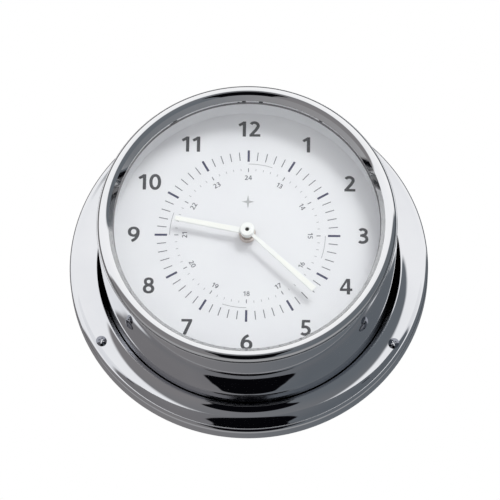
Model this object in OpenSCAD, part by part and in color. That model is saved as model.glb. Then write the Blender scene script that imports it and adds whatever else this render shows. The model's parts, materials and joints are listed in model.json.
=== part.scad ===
// Ship's deck clock: round flanged wall clock with a battery quartz movement.
// Built lying on its back (dial up, local z is the height above the wall, local y points to
// 12 o'clock), then stood up so that 12 o'clock points to +Z and the dial faces -Y.

/* [Mounting flange] */
// Outside diameter of the mounting flange
flange_d = 120; // [118:0.5:124]
// Thickness of the flange plate
flange_t = 6; // [5.6:0.1:6.4]
// Diameter of the circle through the three flange screws
screw_circle_d = 112; // [110:0.5:113]
// Radius of the crest of the raised lip around the case, less its rounding
lip_r = 50.6; // [50.4:0.1:50.9]

/* [Case] */
// Outside diameter of the case drum
drum_d = 98.6; // [98.2:0.1:99]
// Wall of the case drum
drum_wall = 1.05; // [0.95:0.05:1.1]
// Height of the case drum's top edge above the wall
drum_top = 41.6; // [41.4:0.1:41.8]
// Outside diameter of the bezel
bezel_d = 98; // [97.6:0.1:98.2]
// Overall height of the clock from the wall
total_h = 43.6; // [43.4:0.1:43.9]
// Radius of the glazed opening
opening_r = 45.2; // [44.8:0.1:45.4]
// Height of the side case screws above the wall
case_screw_z = 28.5; // [28.3:0.1:28.7]
// Angle of the two lower case screws either side of 6 o'clock
case_screw_angle = 51; // [45:1:58]

/* [Dial and hands] */
// Height of the dial face above the wall
dial_z = 31; // [30.9:0.05:31.1]
// Length of the hour hand from its centre
hour_len = 24.5; // [22:0.5:26]
// Length of the minute hand from its centre
minute_len = 30.4; // [28:0.2:32]
// Width of the hour hand at its root
hour_w = 2.1; // [1.5:0.1:2.3]
// Width of the minute hand at its tip
minute_w = 2.2; // [1.7:0.1:2.4]
// Minutes past the hour shown at rest
shown_minute = 22.17; // [0:0.01:60]
// Hour shown at rest
shown_hour = 9; // [0:1:11]

/* [Movement] */
// Side of the square movement case
movement_side = 56; // [55:0.5:57]
// Front of the movement case, height above the wall
movement_front_z = 29.6; // [29.55:0.01:29.65]
// Wall of the movement case
movement_wall = 1.5; // [1.3:0.1:1.6]
// Gear module of the centre and motion wheels
centre_module = 0.25; // [0.25:0.01:0.25]
// Gear module of the finer train wheels
train_module = 0.2; // [0.2:0.01:0.2]
// Running clearance of pivots in their holes
clearance = 0.05; // [0.03:0.01:0.08]

/* [Hidden] */
$fn = 96;
case_fn = 180; // facets of the large turned case parts

// Case
flange_r = flange_d/2;
flange_bore_r = 46.6;
drum_r = drum_d/2;
drum_inner_r = drum_r - drum_wall;
drum_base_z = 2;
spigot_r = drum_inner_r - clearance; // flange and bezel where they enter the drum
bezel_r = bezel_d/2;
bezel_bore_r = 47;
glass_z = 37.7;
glass_r = 46.4;
glass_top = glass_z + 1.7;
gasket_z = glass_z - 0.6;
gasket_top = glass_top + 0.3;
gasket_bore_r = opening_r + 0.1;
dial_r = 48.1;
dial_back_z = dial_z - 0.8;
dial_hole_r = 2.1;
case_screw_angles = [0, 180 - case_screw_angle, 180 + case_screw_angle];

// Arbors and hands
fit = 0.02; // gap of parts seated on an arbor or pipe
bush_r = 2;
bush_hole_r = bush_r + 0.03;
minute_arbor_r = 0.7;
minute_bore_r = minute_arbor_r + fit;
hour_pipe_r = 1.3;
setting_arbor_r = 0.75;
setting_tip_r = 0.6;
motion_stud_r = 0.5;
large_pivot_r = 0.4;  // third and second wheels
small_pivot_r = 0.35; // intermediate wheel and rotor
pivot_z = 15.9;
pivot_top = 28.9;
hour_hand_z = 34.2;
minute_hand_z = 35.3;
hand_t = 0.4;

// Movement case
half_side = movement_side/2;
inner_half = half_side - movement_wall;
inner_front_z = movement_front_z - movement_wall;
cover_z = 13.6;
case_back_z = 15.1;
bridge_z = 15.8;
bridge_top = 16.6;
BRIDGE_POSTS = [[-9, -5.2], [15.5, 8], [-8.5, 15.2]];
COVER_POSTS = [[-24.5, 24.5], [24.5, 24.5], [-24.5, -9], [24.5, -9]];

// Motor, electronics and battery
coil_y = 20.7;
coil_z = 20.8;
coil_x0 = -20;
coil_x1 = -2;
board_z = 22;
battery_y = -19.4;
battery_z = 21.6;

// Tooth counts
centre_teeth = 64;
cannon_teeth = 12;
motion_teeth = 36;
motion_pinion_teeth = 10;
hour_teeth = 40;
setting_teeth = 12;
third_teeth = 60;
second_teeth = 48;
intermediate_teeth = 40;
pinion_teeth = 8;

// Plan positions of the axes; each angle is the direction from the axis before, from +x
third_angle = 100;
second_angle = 20;
intermediate_angle = 60;
rotor_angle = 100;
motion_place = [spacing(centre_module, cannon_teeth, motion_teeth), 0];
setting_place = motion_place + [spacing(centre_module, motion_teeth, setting_teeth), 0];
third_place = polar(third_angle, spacing(centre_module, centre_teeth, pinion_teeth));
second_place = third_place
  + polar(second_angle, spacing(train_module, third_teeth, pinion_teeth));
intermediate_place = second_place
  + polar(intermediate_angle, spacing(train_module, second_teeth, pinion_teeth));
rotor_place = intermediate_place
  + polar(rotor_angle, spacing(train_module, intermediate_teeth, pinion_teeth));
// the hour pair spans the same distance as the cannon pinion and motion wheel
hour_module = 2*motion_place.x/(motion_pinion_teeth + hour_teeth);

// Tooth phases
motion_phase = mesh(0, 0, cannon_teeth, motion_teeth);
setting_phase = mesh(0, motion_phase, motion_teeth, setting_teeth);
hour_phase = mesh(180, 0, motion_pinion_teeth, hour_teeth);

wheel_colour = [0.90, 0.90, 0.86];
arbor_colour = [0.72, 0.72, 0.74];
hand_colour = [0.93, 0.94, 0.88];
movement_colour = [0.13, 0.13, 0.14];
small_screw_colour = [0.70, 0.71, 0.73];
contact_colour = [0.82, 0.80, 0.70];

// ---- helpers; turned profiles are [radius, height] points ----
function polar(angle, radius) = radius*[cos(angle), sin(angle)];
function arc(centre, radius, start, end, steps) =
  [for (i = [0:steps]) centre + polar(start + (end - start)*i/steps, radius)];
// quarter ellipse of a domed screw head, from its edge to the axis
function dome(radius, z, height) =
  [for (i = [0:6]) [radius*cos(15*i), z + height*sin(15*i)]];
// centre distance of two meshing gears
function spacing(gear_module, teeth_1, teeth_2) = gear_module*(teeth_1 + teeth_2)/2;
// phase of gear 2 that meshes with gear 1, which lies back along the direction angle
function mesh(angle, phase_1, teeth_1, teeth_2) =
  angle + 180 - (180 - (angle - phase_1)*teeth_1)/teeth_2;

module stand_up() { rotate([90, 0, 0]) children(); }
module at(place) { translate([place.x, place.y, 0]) children(); }
module at_each(places) { for (place = places) at(place) children(); }
// turns local z to +x, on the line through y, z
module along_x(y, z) { translate([0, y, z]) rotate([0, 90, 0]) children(); }
// in each flange screw's place, turned to its slot
module at_flange_screws() {
  for (angle = [0, 120, 240])
    rotate(-angle) translate([0, screw_circle_d/2, 0]) rotate(45) children();
}
// on each case screw's axis, with local z radially outward
module at_case_screws() {
  for (angle = case_screw_angles)
    rotate(-angle) translate([0, 0, case_screw_z]) rotate([-90, 0, 0]) children();
}
module tube(radius, bore, z0, z1) {
  rotate_extrude() polygon([[bore, z0], [radius, z0], [radius, z1], [bore, z1]]);
}
module rod(radius, z0, z1) { translate([0, 0, z0]) cylinder(r = radius, h = z1 - z0); }
module box(low, high) { translate(low) cube(high - low); }
// cutter for the cross recess of a screw
module cross_slot(length, width, z0, z1) {
  box([-length/2, -width/2, z0], [length/2, width/2, z1]);
  box([-width/2, -length/2, z0], [width/2, length/2, z1]);
}
// Spur gear with straight-flanked teeth; addendum and dedendum are in modules,
// thickness is the tooth's share of the pitch.
module gear(teeth, gear_module, phase, z0, z1,
            addendum = 0.8, dedendum = 1.15, thickness = 0.40) {
  pitch_r = teeth*gear_module/2;
  tip_r = pitch_r + addendum*gear_module;
  root_r = pitch_r - dedendum*gear_module;
  // half angles of a tooth at its pitch circle, tip and root
  radian = 180/PI;
  pitch_half = thickness*180/teeth;
  tip_half = pitch_half - 0.648*addendum/teeth*radian;
  root_half = pitch_half + 0.28*dedendum/teeth*radian;
  translate([0, 0, z0]) linear_extrude(z1 - z0) polygon([
    for (i = [0:teeth-1]) let(angle = phase + 360*i/teeth) each [
      polar(angle - root_half, root_r), polar(angle - pitch_half, pitch_r),
      polar(angle - tip_half, tip_r), polar(angle + tip_half, tip_r),
      polar(angle + pitch_half, pitch_r), polar(angle + root_half, root_r)]]);
}
module pinion(gear_module, phase, z0, z1) {
  gear(pinion_teeth, gear_module, phase, z0, z1,
       addendum = 0.75, dedendum = 1.1, thickness = 0.36);
}
// cutter for a ring of round holes through a wheel from z0 to z1
module wheel_holes(count, ring_r, hole_r, z0, z1) {
  for (i = [0:count-1])
    rotate(360*(i + 0.5)/count) translate([ring_r, 0, 0]) rod(hole_r, z0 - 0.5, z1 + 0.5);
}
// Wheel on its pivots with a pinion in front. rim is [z0, z1], hub is [radius, z0, z1],
// holes is [count, ring radius, hole radius]; the driver is the wheel the pinion meshes with.
module train_wheel(teeth, rim, hub, holes, driver_module, driver_teeth, angle, pinion_z,
                   pivot_r) {
  difference() {
    union() {
      gear(teeth, train_module, 0, rim[0], rim[1]);
      rod(hub[0], hub[1], hub[2]);
    }
    wheel_holes(holes[0], holes[1], holes[2], rim[0], rim[1]);
  }
  pinion(driver_module, mesh(angle, 0, driver_teeth, pinion_teeth), pinion_z[0], pinion_z[1]);
  rod(pivot_r, pivot_z, pivot_top);
}
module train_pivot_holes(z0, z1) {
  at_each([third_place, second_place]) rod(large_pivot_r + clearance, z0, z1);
  at_each([intermediate_place, rotor_place]) rod(small_pivot_r + clearance, z0, z1);
}

// ---- fixed case parts ----
module mounting_flange() {
  color([0.80, 0.81, 0.83]) stand_up() difference() {
    // the face rises from the flat rim in a concave sweep to the raised lip
    rotate_extrude($fn = case_fn) polygon(concat(
      [[flange_bore_r, 0], [flange_r - 0.5, 0]],
      arc([flange_r - 0.5, 0.5], 0.5, -60, 0, 3),
      arc([flange_r - 1.373, flange_t - 1.445], 1.37, 0, 84, 7),
      arc([lip_r + 6.6, flange_t - 15], 15, 87, 90, 1),
      arc([lip_r + 6.6, flange_t + 34], 34, 269, 268, 1),
      arc([lip_r + 4.875, flange_t + 9.583], 9.5, 263, 255, 2),
      arc([lip_r + 4.124, flange_t + 6.782], 6.6, 252, 241, 3),
      [[lip_r + 0.58, flange_t + 1.11], [lip_r + 0.35, flange_t + 1.12],
       [lip_r + 0.12, flange_t + 0.9], [drum_r + 0.25, flange_t - 1.8],
       [drum_r + 0.25, drum_base_z], [spigot_r, drum_base_z],
       [spigot_r, 9], [flange_bore_r, 9]]));
    // countersunk screw holes
    at_flange_screws() {
      rod(1.25, -1, flange_t + 1);
      translate([0, 0, flange_t - 0.85]) cylinder(r1 = 1.25, r2 = 2.1, h = 0.85);
      rod(2.1, flange_t, flange_t + 2);
    }
  }
}
module flange_screws() {
  head_z = flange_t - 0.02;
  color([0.30, 0.31, 0.35]) stand_up() at_flange_screws() difference() {
    rotate_extrude() polygon(concat(
      [[0, -12], [1.1, -10], [1.1, -0.3], [1.15, -0.2], [1.15, flange_t - 0.87], [2, head_z]],
      dome(2, head_z, 0.62)));
    cross_slot(2.5, 0.5, flange_t - 0.15, flange_t + 1.6);
  }
}
module case_drum() {
  color([0.78, 0.79, 0.81]) stand_up() difference() {
    rotate_extrude($fn = case_fn) polygon([
      [drum_inner_r, drum_base_z], [drum_r - 0.2, drum_base_z], [drum_r, drum_base_z + 0.2],
      [drum_r, drum_top - 0.35], [drum_r - 0.12, drum_top - 0.1],
      [drum_r - 0.3, drum_top], [drum_inner_r, drum_top]]);
    at_case_screws() rod(1.15, drum_r - 4, drum_r + 2);
  }
}
module bezel() {
  rounding = 1.6;
  round_r = bezel_r - rounding;
  round_z = total_h - rounding;
  color([0.86, 0.87, 0.88]) stand_up() rotate_extrude($fn = case_fn) polygon(concat(
    [[bezel_bore_r, 34], [spigot_r, 34], [spigot_r, drum_top], [bezel_r - 0.4, drum_top],
     [bezel_r - 0.4, drum_top + 0.35], [bezel_r, drum_top + 0.35]],
    arc([round_r, round_z], rounding, 0, 112, 10),
    arc([round_r + 1.273, round_z - 3.152], 5, 116, 133, 3),
    [[opening_r - 1.25, gasket_top], [bezel_bore_r, gasket_top]]));
}
module glass() {
  chamfer = 0.2;
  color([0.85, 0.92, 0.95, 0.3]) stand_up() rotate_extrude($fn = case_fn) polygon([
    [0, glass_z], [glass_r - chamfer, glass_z], [glass_r, glass_z + chamfer],
    [glass_r, glass_top - chamfer], [glass_r - chamfer, glass_top], [0, glass_top]]);
}
module glass_gasket() {
  // channel section around the edge of the glass
  outer_r = 46.95;
  lip_bore_r = opening_r - 1.45;
  color([0.08, 0.08, 0.08]) stand_up() rotate_extrude($fn = case_fn) polygon([
    [gasket_bore_r, gasket_z], [outer_r, gasket_z], [outer_r, gasket_top],
    [lip_bore_r, gasket_top], [lip_bore_r, glass_top], [glass_r, glass_top],
    [glass_r, glass_z], [gasket_bore_r, glass_z]]);
}
module reflector_ring() {
  color([0.88, 0.88, 0.89]) stand_up() rotate_extrude($fn = case_fn) polygon([
    [44, dial_z], [dial_r, dial_z], [dial_r, 33.9], [46.9, 33.9],
    [46.9, gasket_z], [gasket_bore_r, gasket_z], [44.3, dial_z + 0.9]]);
}
module dial_plate() {
  color([0.87, 0.87, 0.89]) stand_up() tube(dial_r, dial_hole_r, dial_back_z, dial_z);
}
module dial_support_ring() {
  color([0.15, 0.15, 0.16]) stand_up() difference() {
    tube(dial_r, 45, dial_z - 4.2, dial_back_z);
    at_case_screws() rod(1.03, 44, 50);
  }
}
module case_screws() {
  head_z = drum_r + 0.03;
  color([0.35, 0.36, 0.40]) stand_up() at_case_screws() difference() {
    rotate_extrude() polygon(concat(
      [[0, 45.6], [0.8, 45.6], [1, 45.8], [1, head_z], [1.95, head_z], [2, drum_r + 0.08]],
      dome(2, drum_r + 0.15, 0.65)));
    cross_slot(2.4, 0.5, drum_r + 0.2, drum_r + 1.8);
  }
}

// ---- dial centre and hands ----
module rubber_washer() {
  color([0.10, 0.10, 0.10]) stand_up() tube(9, dial_hole_r, movement_front_z, dial_back_z);
}
module centre_bush() {
  bore = 1.35;
  flange = 3.4;
  color([0.80, 0.68, 0.40]) stand_up() rotate_extrude() polygon([
    [bore, 27.6], [flange, 27.6], [flange, inner_front_z], [bush_r, inner_front_z],
    [bush_r, 33.3], [bush_r - 0.1, 33.4], [bore, 33.4]]);
}
module centre_nut() {
  color([0.75, 0.74, 0.72]) stand_up() rotate_extrude() polygon([
    [bush_hole_r, dial_z], [2.75, dial_z], [2.75, 33.3], [2.5, 33.6], [bush_hole_r, 33.6]]);
}
module minute_arbor() {
  color(arbor_colour) stand_up() {
    difference() {
      rod(minute_arbor_r, pivot_z, 36.1);
      rod(0.5, 34.1, 37);
    }
    // cannon pinion
    difference() {
      gear(cannon_teeth, centre_module, 0, 24.7, 26.1);
      rod(minute_arbor_r - 0.01, 24, 27);
    }
  }
}
module centre_wheel() {
  color(wheel_colour) stand_up() difference() {
    union() {
      gear(centre_teeth, centre_module, 0, 23.2, 24);
      rod(1.6, 22.8, 24.5);
    }
    rod(minute_bore_r, 20, 26);
    wheel_holes(count = 5, ring_r = 4.5, hole_r = 1.45, z0 = 23.2, z1 = 24);
  }
}
// flat hand pointing to 12 o'clock: round hub and a blade mirrored from its right edge
module hand(z, hub_r, right_edge) {
  left_edge = [for (i = [len(right_edge)-1:-1:0]) [-right_edge[i].x, right_edge[i].y]];
  translate([0, 0, z]) linear_extrude(hand_t) union() {
    circle(r = hub_r);
    polygon(concat(right_edge, left_edge));
  }
}
module minute_hand() {
  half = minute_w/2;
  color(hand_colour) stand_up() rotate(-shown_minute*6) difference() {
    hand(minute_hand_z, 2.2, [[0.6, 0], [half, minute_len - 0.5], [half - 0.15, minute_len]]);
    rod(minute_bore_r, 35, 36);
  }
}
module hand_nut() {
  seat_z = minute_hand_z + hand_t;
  color([0.90, 0.90, 0.88]) stand_up() rotate_extrude() polygon([
    [minute_bore_r, seat_z], [2.5, seat_z], [2.5, 36.35], [2.3, 36.6], [0.95, 36.6],
    [minute_bore_r, 36.4]]);
}
module hour_wheel() {
  color(wheel_colour) stand_up() difference() {
    union() {
      gear(hour_teeth, hour_module, hour_phase, 26.6, 27.4);
      rod(hour_pipe_r, 26.5, 34.9);
    }
    rod(minute_arbor_r + clearance, 26, 35);
    wheel_holes(count = 4, ring_r = 2.95, hole_r = 0.75, z0 = 26.6, z1 = 27.4);
  }
}
module hour_hand() {
  half = hour_w/2;
  color(hand_colour) stand_up() rotate(-(shown_hour*30 + shown_minute/2)) difference() {
    union() {
      hand(hour_hand_z, 2.3,
           [[half, 0], [half - 0.2, hour_len - 0.3], [half - 0.35, hour_len]]);
      rod(1.9, 33.9, 34.8);
    }
    rod(hour_pipe_r + fit, 33, 36);
  }
}

// ---- movement case ----
module movement_front_case() {
  post_top = inner_front_z + 0.1;
  // blind pivot holes in the front wall
  hole_z = inner_front_z - 0.1;
  hole_top = inner_front_z + 0.9;
  color(movement_colour) stand_up() difference() {
    union() {
      difference() {
        box([-half_side, -half_side, case_back_z], [half_side, half_side, movement_front_z]);
        // gear space, then battery bay below it
        box([-inner_half, -11, 10], [inner_half, inner_half, inner_front_z]);
        box([-inner_half, -inner_half, 10], [inner_half, -12.3, hole_top]);
      }
      at_each(BRIDGE_POSTS) rod(1.4, bridge_top, post_top);
      at_each(COVER_POSTS) rod(2.2, case_back_z, post_top);
      at(motion_place) rod(motion_stud_r, 24.5, post_top);
    }
    rod(bush_hole_r, inner_front_z - 1, movement_front_z + 1);
    train_pivot_holes(hole_z, hole_top);
    at(setting_place) rod(setting_tip_r + clearance, hole_z, hole_top);
    at_each(BRIDGE_POSTS) rod(0.62, 14, 22);
    at_each(COVER_POSTS) rod(0.82, 14, 22);
  }
}
module movement_rear_cover() {
  color(movement_colour) stand_up() difference() {
    union() {
      box([-half_side, -12.4, cover_z], [half_side, half_side, case_back_z]);
      at(setting_place) rod(6.4, 12.9, cover_z + 0.1);
    }
    at(setting_place) rod(setting_arbor_r + clearance, 10, 16);
    at_each(COVER_POSTS) rod(0.85, 10, 16);
  }
}
module rear_cover_screws() {
  color(small_screw_colour) stand_up() at_each(COVER_POSTS) difference() {
    rotate_extrude() polygon([[0, 12.6], [1.3, 12.6], [1.6, 12.9], [1.6, cover_z],
      [0.8, cover_z], [0.8, 19.5], [0, 20.2]]);
    cross_slot(1.9, 0.4, 11.6, 13.2);
  }
}
module train_bridge() {
  color([0.80, 0.80, 0.76]) stand_up() difference() {
    box([-10.8, -7, bridge_z], [17.5, 25.5, bridge_top]);
    rod(minute_arbor_r + clearance, 15, 17);
    train_pivot_holes(15, 17);
    at(setting_place) rod(setting_arbor_r + clearance, 15, 17);
    at_each(BRIDGE_POSTS) rod(0.65, 15, 17);
    // the coil end of the bridge is cut back
    box([-11, 17.2, 15], [-1, 27.2, 18]);
  }
}
module bridge_screws() {
  color(small_screw_colour) stand_up() at_each(BRIDGE_POSTS) difference() {
    rotate_extrude() polygon([[0, 15.25], [1.1, 15.25], [1.2, 15.35], [1.2, bridge_z],
      [0.6, bridge_z], [0.6, 20.5], [0, 21]]);
    box([-1.5, -0.15, 15.1], [1.5, 0.15, 15.45]);
  }
}

// ---- wheels ----
module motion_wheel() {
  color(wheel_colour) stand_up() at(motion_place) difference() {
    union() {
      gear(motion_teeth, centre_module, motion_phase, 25, 25.8);
      gear(motion_pinion_teeth, hour_module, 0, 25.7, 27.6);
    }
    rod(motion_stud_r + clearance, 24, 28);
  }
}
module setting_arbor() {
  color(arbor_colour) stand_up() at(setting_place) {
    rod(setting_arbor_r, 11.5, 27.9);
    rod(setting_tip_r, 27.8, pivot_top);
    difference() {
      gear(setting_teeth, centre_module, setting_phase, 24.8, 26);
      rod(setting_arbor_r - 0.01, 24, 27);
    }
  }
}
module setting_knob() {
  bore = setting_arbor_r + fit;
  color([0.10, 0.10, 0.11]) stand_up() at(setting_place) difference() {
    rotate_extrude() polygon([[0, 9.6], [4.3, 9.6], [4.7, 9.9], [4.7, 12], [4.4, 12.3],
      [1.6, 12.3], [1.6, 12.8], [bore, 12.8], [bore, 11.4], [0, 11.4]]);
    // grip flutes
    for (i = [0:19])
      rotate(18*i) translate([4.95, 0, 9]) cylinder(r = 0.4, h = 4, $fn = 24);
  }
}
module third_wheel() {
  color(wheel_colour) stand_up() at(third_place) train_wheel(
    teeth = third_teeth, rim = [21.4, 22.1], hub = [1.1, 21, 22.3], holes = [4, 3.5, 1.15],
    driver_module = centre_module, driver_teeth = centre_teeth, angle = third_angle,
    pinion_z = [22.2, 24.3], pivot_r = large_pivot_r);
}
module second_wheel() {
  color(wheel_colour) stand_up() at(second_place) train_wheel(
    teeth = second_teeth, rim = [19.3, 20], hub = [1, 19.1, 21], holes = [4, 2.85, 0.95],
    driver_module = train_module, driver_teeth = third_teeth, angle = second_angle,
    pinion_z = [20.9, 22.5], pivot_r = large_pivot_r);
}
module intermediate_wheel() {
  color(wheel_colour) stand_up() at(intermediate_place) train_wheel(
    teeth = intermediate_teeth, rim = [17.9, 18.6], hub = [0.9, 17.6, 19],
    holes = [3, 2.4, 0.8], driver_module = train_module, driver_teeth = second_teeth,
    angle = intermediate_angle, pinion_z = [18.9, 20.1], pivot_r = small_pivot_r);
}
module rotor_pinion() {
  phase = mesh(rotor_angle, 0, intermediate_teeth, pinion_teeth);
  color([0.85, 0.85, 0.80]) stand_up() at(rotor_place) {
    pinion(train_module, phase, 17.6, 19.2);
    rod(1, 19.2, 19.6);
    rod(small_pivot_r, pivot_z, pivot_top);
  }
}
module rotor_magnet() {
  color([0.35, 0.35, 0.37]) stand_up() at(rotor_place)
    tube(2.4, small_pivot_r + fit, 19.6, 22);
}

// ---- stepping motor and electronics ----
module stator() {
  // joined rectangles: [x, y, width, height]
  plates = [[-22.1, 18.6, 2, 7.6], [-22.1, 24.8, 33.3, 1.4], [2.4, 17.2, 8.8, 8],
    [-22, 19.4, 25, 2.6]];
  color([0.62, 0.62, 0.64]) stand_up() difference() {
    translate([0, 0, 20.3]) linear_extrude(1) union() {
      for (plate = plates) translate([plate[0], plate[1]]) square([plate[2], plate[3]]);
    }
    // rotor hole and two slots
    at(rotor_place) rod(2.8, 20, 22);
    box([rotor_place.x - 0.3, 16, 20], [rotor_place.x + 0.3, 18.2, 22]);
    box([2, 24.1, 20], [6.8, 24.8, 22]);
  }
}
module coil_bobbin() {
  cheek_r = 3.8;
  cheek_t = 0.8;
  color([0.20, 0.22, 0.26]) stand_up() along_x(coil_y, coil_z) difference() {
    union() {
      rod(1.9, coil_x0, coil_x1);
      rod(cheek_r, coil_x0, coil_x0 + cheek_t);
      rod(cheek_r, coil_x1 - cheek_t, coil_x1);
    }
    box([-0.6, -1.4, -25], [0.6, 1.4, 5]);
  }
}
module coil_winding() {
  color([0.72, 0.40, 0.20]) stand_up() along_x(coil_y, coil_z)
    tube(3.4, 1.92, coil_x0 + 0.85, coil_x1 - 0.85);
}
module circuit_board() {
  color([0.10, 0.35, 0.22]) stand_up() difference() {
    box([-25.8, -6, board_z], [-11.2, 14.6, board_z + 0.8]);
    at_each([[-13, -4.5], [-13, 13]]) rod(0.8, 21, 24);
  }
}
module quartz_crystal() {
  can_x = -22.5;
  can_z = 20.9;
  color([0.80, 0.80, 0.82]) stand_up() {
    translate([can_x, 1.5, can_z]) rotate([-90, 0, 0]) rotate_extrude()
      polygon([[0, 0], [0.9, 0], [1, 0.15], [1, 6.6], [0.8, 6.8], [0, 6.8]]);
    // leads
    for (x = [-0.35, 0.35])
      translate([can_x + x, 1.6, can_z]) rotate([90, 0, 0]) cylinder(r = 0.13, h = 2.2);
  }
}
module ic_chip() {
  color([0.06, 0.06, 0.07]) stand_up() at([-16.5, 3.5]) rotate_extrude()
    polygon([[0, 21], [1.2, 21.1], [2, 21.5], [2.3, board_z], [0, board_z]]);
}
module battery() {
  color([0.25, 0.45, 0.62]) stand_up() along_x(battery_y, battery_z) rotate_extrude()
    polygon([[0, -24.3], [6.2, -24.3], [6.9, -23.9], [6.9, 23.2], [6.6, 23.6],
      [2.75, 23.6], [2.75, 24.6], [2.5, 24.8], [0, 24.8]]);
}
module contact_plate(x) { box([x, -24.5, 17.5], [x + 0.4, -14.3, 26.1]); }
module battery_contact_positive() {
  color(contact_colour) stand_up() difference() {
    union() {
      contact_plate(25.3);
      box([24.95, battery_y - 2, battery_z - 2], [25.35, battery_y + 2, battery_z + 2]);
    }
    box([25, -15.6, 24.6], [26, -15, 26.6]);
  }
}
module battery_contact_negative() {
  color(contact_colour) stand_up() {
    contact_plate(-26.2);
    // stepped contact spring
    along_x(battery_y, battery_z) rotate_extrude() polygon([
      [2.9, -25.9], [3.5, -25.9], [3.5, -25.3], [3, -25.3], [3, -24.9], [2.5, -24.9],
      [2.5, -24.5], [1.6, -24.5], [1.6, -24.7], [2.2, -24.7], [2.2, -25.1], [2.7, -25.1],
      [2.7, -25.5], [2.9, -25.5]]);
  }
}

mounting_flange();
flange_screws();
case_drum();
bezel();
glass();
glass_gasket();
reflector_ring();
dial_plate();
dial_support_ring();
case_screws();
rubber_washer();
centre_bush();
centre_nut();
movement_front_case();
movement_rear_cover();
rear_cover_screws();
train_bridge();
bridge_screws();
minute_arbor();
centre_wheel();
minute_hand();
hand_nut();
hour_wheel();
hour_hand();
motion_wheel();
setting_arbor();
setting_knob();
third_wheel();
second_wheel();
intermediate_wheel();
rotor_magnet();
rotor_pinion();
stator();
coil_bobbin();
coil_winding();
circuit_board();
quartz_crystal();
ic_chip();
battery();
battery_contact_positive();
battery_contact_negative();
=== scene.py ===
"""A round battery wall clock: plated drum and flange, glazed dial, two hands and a cased movement.

Parts are drawn in local millimetres: x right, y to 12 o'clock, z out of the wall.
In the world (metres) that is x right, z up and y into the wall, so the dial faces -y.
"""

import functools
import json
import math

import bmesh
import bpy
import numpy as np
from mathutils import Matrix, Vector
from mathutils.geometry import tessellate_polygon


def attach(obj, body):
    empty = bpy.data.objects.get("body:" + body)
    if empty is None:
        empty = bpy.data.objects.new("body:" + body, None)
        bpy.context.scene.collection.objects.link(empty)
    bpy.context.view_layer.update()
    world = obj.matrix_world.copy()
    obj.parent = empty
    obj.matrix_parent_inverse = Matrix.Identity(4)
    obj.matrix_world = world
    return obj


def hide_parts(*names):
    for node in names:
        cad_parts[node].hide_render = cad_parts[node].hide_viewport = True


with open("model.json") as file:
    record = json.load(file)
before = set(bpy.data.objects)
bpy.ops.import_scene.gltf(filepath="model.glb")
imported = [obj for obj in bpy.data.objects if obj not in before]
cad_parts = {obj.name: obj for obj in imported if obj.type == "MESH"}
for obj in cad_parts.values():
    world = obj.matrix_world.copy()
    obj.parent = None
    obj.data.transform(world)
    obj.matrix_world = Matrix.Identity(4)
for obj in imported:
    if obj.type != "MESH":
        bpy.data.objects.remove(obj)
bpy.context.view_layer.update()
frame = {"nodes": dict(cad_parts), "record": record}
NODES = frame["nodes"]
scene = bpy.context.scene

MM = 0.001
TO_WORLD = Matrix(((1, 0, 0, 0), (0, 0, -1, 0), (0, 1, 0, 0), (0, 0, 0, 1)))
LOCAL = Matrix.Scale(MM, 4) @ TO_WORLD  # multiplies local millimetres

# ------------------------------------------------------------------ driving dimensions, mm
HOURS, MINUTES = 9, 22.17  # the time shown
DRUM_BORE_R, DRUM_R = 48.25, 49.3
DRUM_BACK, DRUM_FRONT = 2.0, 41.6
SLEEVE_R = 48.2  # outside of the flange and bezel sleeves, inside the drum
DIAL_R, DIAL_BACK, DIAL_FRONT = 48.1, 30.2, 31.0
GLASS_R, GLASS_BACK, GLASS_FRONT = 46.4, 37.7, 39.4
BEZEL_SEAT = 39.7  # where the bezel rests on the gasket
REFLECTOR_FRONT = 37.1  # where the gasket rests on the reflector
REFLECTOR_IN_R, REFLECTOR_OUT_R = 45.3, 46.9  # at its front face
MINUTE_BACK, MINUTE_FRONT = 35.3, 35.7  # faces of the minute hand
HOUR_BACK, HOUR_FRONT = 34.2, 34.6  # faces of the hour hand
KNOB_X = 12.0  # the setting knob and its collar, level with the dial centre
SMOOTH_ANGLE = math.radians(30)  # edges sharper than this stay sharp


# ------------------------------------------------------------------ objects and meshes
def clock_point(radius, degrees):
    """point at a clockwise angle from 12 o'clock"""
    angle = math.radians(degrees)
    return radius * math.sin(angle), radius * math.cos(angle)


def add(name, mesh, material, replaced=None, body="case"):
    """place a mesh in the scene, parent it to the empty of the body it moves with, and hide the CAD
    part it stands for
    """
    obj = bpy.data.objects.new(name, mesh)
    scene.collection.objects.link(obj)
    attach(obj, body)
    if material:
        mesh.materials.append(MATS[material])
    if replaced:
        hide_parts(replaced)
    return obj


def mesh_from(name, verts, faces, matrix=LOCAL):
    mesh = bpy.data.meshes.new(name)
    mesh.from_pydata([matrix @ Vector(v) for v in verts], [], faces)
    mesh.validate()
    mesh.update()
    return mesh


def smooth(mesh):
    """smooth shading with sharp edges kept"""
    mesh.polygons.foreach_set("use_smooth", [True] * len(mesh.polygons))
    mesh.set_sharp_from_angle(angle=SMOOTH_ANGLE)
    return mesh


# ------------------------------------------------------------------ turned parts, exact normals
def on_circle(r, z, radius, angle):
    return r + radius * math.cos(angle), z + radius * math.sin(angle)


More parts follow.
